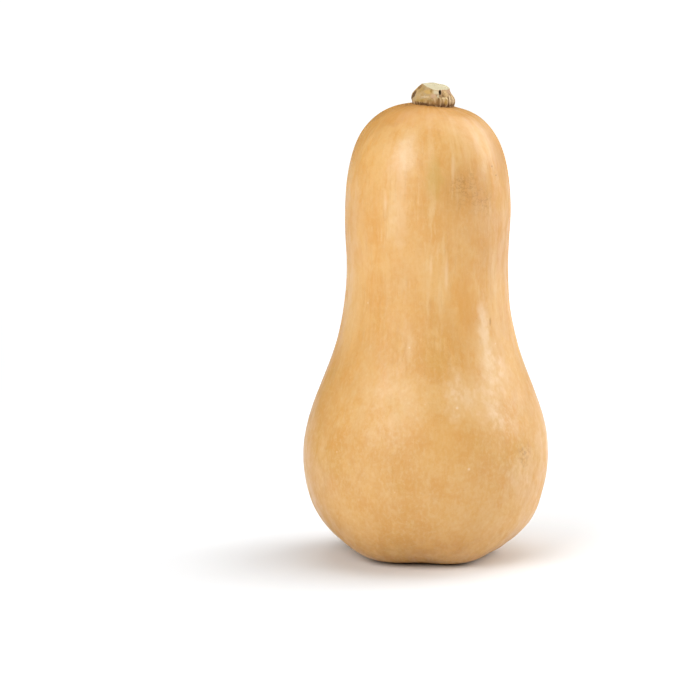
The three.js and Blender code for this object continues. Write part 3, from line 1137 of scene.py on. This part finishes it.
stalk = Finish("dry_stalk_finish")
stalk_place = stalk.node("ShaderNodeTexCoord", {}, {}, output="Object")
stalk_marks = stalk.node("ShaderNodeAttribute", {"attribute_name": "stalk_marks"}, {}, output="Vector")
fresh = stalk.node("ShaderNodeSeparateXYZ", {}, {0: stalk_marks}, output="X")
bark = stalk.node("ShaderNodeSeparateXYZ", {}, {0: stalk_marks}, output="Y")
rise = stalk.node("ShaderNodeSeparateXYZ", {}, {0: stalk_marks}, output="Z")
upright = stalk.stretch(stalk_place, (1, 1, WRINKLE_STRETCH))
ribs = stalk.noise(upright, 1.3 * MM, detail=3)
fibres = stalk.noise(upright, 0.5 * MM, detail=3, roughness=0.6)
stalk_blotches = stalk.noise(stalk_place, 3.5 * MM, detail=3)
grit = stalk.noise(stalk_place, 0.6 * MM, detail=3, roughness=0.7)

CUT_GLAZES = [
    (STRAW, 1, stalk_blotches, 0.4, 0.6),
    (OLIVE, 0.3, grit, 0.5, 0.75),
    (FRESH_CUT_AND_HIGHLIGHT, 0.3, grit, 0.5, 0.3),
]
BARK_GLAZES = [
    (BARK_RIB, 1, ribs, 0.36, 0.62),
    (OLIVE, 0.4, stalk_blotches, 0.56, 0.7),
    (PINKISH, 0.7, rise, 0.25, 0.5),
    (BARK_BROWN, 0.5, fibres, 0.5, 0.3),
    # Painted shade: the bark darkens where it sinks to the crown.
    (DARK_BARK_AND_SHADE, 0.7, rise, 0.05, -0.12),
]
cut_colour = stalk.glaze(OLD_CUT, CUT_GLAZES)
bark_colour = stalk.glaze(BARK_BROWN, BARK_GLAZES)
stalk_colour = stalk.tint(cut_colour, bark_colour, bark)
stalk_colour = stalk.tint(stalk_colour, FRESH_CUT_AND_HIGHLIGHT, fresh)
print("the stalk has", len(CUT_GLAZES), "glazes on its cuts and", len(BARK_GLAZES), "on its bark")

# %% [markdown]
# The front of the stub is seen closely, so its own marks are laid where the photograph shows them: a yellow
# middle in the scoop with a painted highlight on its lower rim, a dark line of bark on its left edge, a
# pinkish ridge in front with painted highlights beside the pit, a notch painted lighter against its own
# shade, a pale ledge under the notch, painted shade where the foot meets the crown, and brown, olive and
# pale ribs on the foot, one of them a painted highlight. Every row is a colour, its strength, the centre
# from the middle of the stub's foot, the half sizes, both in millimetres, and a tilt in degrees.

# %% Add the stalk's own marks
GOLD = paint(196, 160, 92)
FOOT_TAN = paint(168, 136, 70)
OLIVE_GOLD = paint(172, 136, 66)
FOOT_BROWN = paint(150, 112, 60)
LEDGE = paint(232, 206, 152)
NOTCH_TAN_AND_LIGHT = paint(210, 178, 126)
STALK_MARKS = [
    (OLIVE, 0.45, (-5.2, -4.6, 6.2), (1.2, 4, 3.4), 45),
    (GOLD, 0.8, (-2.6, -6.4, 5.0), (2.8, 4, 1.5), 0),
    (OLIVE, 0.9, (-0.9, -8.5, 5.7), (1.2, 3, 1.6), 10),
    # The notch is painted lighter against its own shade.
    (NOTCH_TAN_AND_LIGHT, 0.9, (6.0, -5.7, 4.3), (2.3, 3, 2.4), 0),
    (DARK_BARK_AND_SHADE, 0.95, (-9.3, -2.2, 3.3), (0.9, 5, 3.6), 30),
    (BARK_BROWN, 0.9, (-6.4, -3.5, 7.0), (0.8, 5, 2.8), 46),
    # Painted highlight on the scoop's lower rim.
    (PALE_RIB_AND_HIGHLIGHT, 0.8, (-3.2, -6.4, 2.6), (3.6, 4, 0.6), 2),
    (FOOT_TAN, 0.9, (-5.4, -8.0, 0.9), (4.6, 4, 0.9), 0),
    # The next two rows are painted shade where the foot meets the crown.
    (DARK_BARK_AND_SHADE, 0.8, (-4.6, -8.6, -0.6), (4.0, 4, 0.8), 4),
    (DARK_BARK_AND_SHADE, 0.7, (5.5, -8.5, -1.6), (5.0, 4, 0.6), 3),
    # Painted highlight beside the pit.
    (FRESH_CUT_AND_HIGHLIGHT, 0.75, (1.6, -9.2, 5.0), (2.2, 4, 1.5), 20),
    (PINKISH, 0.8, (0.2, -9.9, 3.2), (1.8, 4, 1.4), 0),
    # Painted highlight below the pit.
    (FRESH_CUT_AND_HIGHLIGHT, 0.7, (2.6, -9.2, 3.0), (0.7, 4, 1.0), 0),
    (FOOT_BROWN, 0.7, (1.6, -10.6, 0.2), (4.2, 4, 1.7), 0),
    (OLIVE, 0.5, (-1.6, -9.6, 1.0), (2.4, 4, 1.4), 0),
    (OLIVE_GOLD, 0.9, (6.4, -7.4, 0.2), (1.3, 4, 2.0), 0),
    (LEDGE, 0.6, (5.6, -7.9, 2.1), (2.6, 4, 0.5), 0),
    # Painted highlight on a rib of the foot.
    (PALE_RIB_AND_HIGHLIGHT, 1.0, (8.3, -5.8, 1.2), (0.5, 4, 3.2), 0),
    (PALE_RIB_AND_HIGHLIGHT, 0.6, (9.8, -4.0, 0.5), (1.3, 4, 2.2), 0),
]
STALK_DRIFT_SIZE = 0.9 * MM
STALK_DRIFT_REACH = mm(0.7, 0.7, 1.4)
MARK_EDGE = 0.4

uneven_stalk = stalk.drifted(stalk_place, STALK_DRIFT_SIZE, 3.0, STALK_DRIFT_REACH)
for colour, strength, offset, half_sizes, tilt in STALK_MARKS:
    place = STEM_AXIS + Vector(offset) * MM
    turn = (0, math.radians(tilt), 0)
    mark = stalk.spot(uneven_stalk, tuple(place), mm(*half_sizes), turn, edge=MARK_EDGE)
    stalk_colour = stalk.tint(stalk_colour, colour, strength * mark * (1 - fresh))
print("the stalk has", len(STALK_MARKS), "marks of its own")

# %% Paint shade in the foot's folds and in the pit
PIT_SHADE = paint(84, 60, 24)
PIT_SHADE_SIZES = mm(0.62, 3.4, 1.5)
PIT_SHADE_EDGE = 0.85

on_foot = bark * stalk.between(rise, 0.3, 0.15)
FOOT_SHADE_AND_RIBS = [
    # Painted shade in the foot's folds; its ribs are paler.
    (DARK_BARK_AND_SHADE, 0.4 * on_foot, ribs, 0.48, 0.36),
    (PALE_RIB_AND_HIGHLIGHT, 0.35 * on_foot, ribs, 0.54, 0.66),
]
stalk_colour = stalk.glaze(stalk_colour, FOOT_SHADE_AND_RIBS)
pit_centre = STEM_AXIS + HOLLOWS["pit"][0] * MM
# Painted shade fills the pit.
pit = stalk.spot(stalk_place, tuple(pit_centre), PIT_SHADE_SIZES, edge=PIT_SHADE_EDGE)
stalk_colour = stalk.tint(stalk_colour, PIT_SHADE, pit)
print("the pit is at", tuple(round(along, 4) for along in pit_centre))

# %% Fibres and matt surface of the stalk
STALK_BUMP = 0.3 * MM

stalk_height = 0.6 * fibres + 0.3 * grit + 0.5 * ribs
stalk.set_surface(
    Base_Color=stalk_colour,
    Roughness=0.9 - 0.15 * fresh,
    Normal=stalk.bump(stalk_height, STALK_BUMP),
)
stem.data.materials.append(stalk.material)
print("stalk finish has", len(stalk.nodes), "nodes")

# %% [markdown]
# ## The studio
#
# The squash stands on white paper that runs far behind it. A hand's width away the paper glows a
# little, as if lit from below, and further off more and more, so that it fades to pure white while the
# fruit's shade stays.

# %% Lay the paper
FLOOR_SIZE = 60
NEAR_GLOW = 0.13
NEAR_START = 0.05
NEAR_END = 0.13
GLOW_START = 0.25
GLOW_END = 2.0
BLACK = (0, 0, 0, 1)
WHITE = (1, 1, 1, 1)

start_fresh()
bpy.ops.mesh.primitive_plane_add(size=FLOOR_SIZE, location=(0, 0, 0))
floor = bpy.context.object
floor.name = "studio_floor"

paper = Finish("studio_paper")
paper_place = paper.node("ShaderNodeTexCoord", {}, {}, output="Object")
from_fruit = paper.node("ShaderNodeVectorMath", {"operation": "LENGTH"}, {0: paper_place}, output="Value")
glow = paper.tint(BLACK, WHITE, NEAR_GLOW * paper.between(from_fruit, NEAR_START, NEAR_END))
glow = paper.tint(glow, WHITE, paper.between(from_fruit, GLOW_START, GLOW_END))
paper.set_surface(
    Base_Color=(0.88, 0.9, 0.92, 1),
    Roughness=0.95,
    Specular_IOR_Level=0.1,
    Emission_Color=glow,
    Emission_Strength=1.05,
)
floor.data.materials.append(paper.material)
floor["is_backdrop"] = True
print("the paper is", FLOOR_SIZE, "m wide and fades to white", GLOW_END, "m from the fruit")

# %% [markdown]
# The room itself is nearly dark, a little lighter overhead. The main light is a large soft window in
# front on the left. Three smaller ones, from the front round the right side to the back, leave the
# highlights on the right of the fruit, and a panel overhead lights the crown and the paper.

# %% Brighten the room
WALL_LIGHT = 0.02
CEILING_LIGHT = 0.02
CEILING_START = 0.35


class Room(Finish):
    """The world's nodes, which are used in the same way as a material's."""

    def __init__(self, name):
        self.world = bpy.data.worlds.new(name)
        self.world.use_nodes = True
        self.nodes = self.world.node_tree.nodes
        self.links = self.world.node_tree.links
        self.shader = self.nodes["Background"]


room = Room("white_studio")
direction = room.node("ShaderNodeTexCoord", {}, {}, output="Generated")
upwards = room.node("ShaderNodeSeparateXYZ", {}, {0: direction}, output="Z")
ceiling = CEILING_LIGHT * room.between(upwards, CEILING_START, 1)
room.set_surface(Color=WHITE, Strength=WALL_LIGHT + ceiling)
bpy.context.scene.world = room.world
print("the room's light is", WALL_LIGHT, "from its walls and", WALL_LIGHT + CEILING_LIGHT, "from overhead")

# %% [markdown]
# A window is written as its direction, its distance, its width and height, and its power in watts. The
# direction is two angles in degrees: how far it is round to the right of the camera's side, and how far
# it is above the floor.

# %% Hang the lights
HALF_HEIGHT = Vector((0, 0, BODY_HEIGHT / 2))
WINDOWS = {
    "left_window": (-38, 29, 1.5, (1.1, 0.9), 18.8),
    "right_window": (106, 21, 1.3, (0.9, 0.8), 8.2),
    "front_right_window": (75, 22, 1.3, (0.8, 0.8), 4.4),
    "back_right_window": (130, 38, 1.3, (0.8, 0.7), 5.0),
    "overhead_panel": (180, 80, 1.2, (1.2, 1.2), 8.5),
}


def direction_to(azimuth, elevation):
    """Direction to a light, worked out from its two angles in degrees."""
    turn = math.radians(azimuth)
    tilt = math.radians(elevation)
    return Vector((math.sin(turn) * math.cos(tilt), -math.cos(turn) * math.cos(tilt), math.sin(tilt)))


def hang(name, light, towards, distance):
    """Hangs a light in a direction from the fruit's middle, and turns it to face the fruit."""
    lamp = bpy.data.objects.new(name, light)
    lamp.location = HALF_HEIGHT + towards * distance
    lamp.rotation_euler = (-towards).to_track_quat("-Z", "Y").to_euler()
    bpy.context.scene.collection.objects.link(lamp)


for name, (azimuth, elevation, distance, (width, height), power) in WINDOWS.items():
    window = bpy.data.lights.new(name, "AREA")
    window.shape = "RECTANGLE"
    window.size = width
    window.size_y = height
    window.energy = power
    hang(name, window, direction_to(azimuth, elevation), distance)
bpy.context.scene.view_settings.view_transform = "Standard"
print(len(WINDOWS), "windows hang round the fruit")

# %% [markdown]
# ## The dressed size
#
# The dressed fruit has to be as large as the frame. We print its box, to set beside the frame's box printed
# at the start.

# %% Print the dressed size
dressed_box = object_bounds()
for name, corner in zip(("from", "to"), dressed_box):
    print("dressed", name, tuple(round(along, 4) for along in corner))
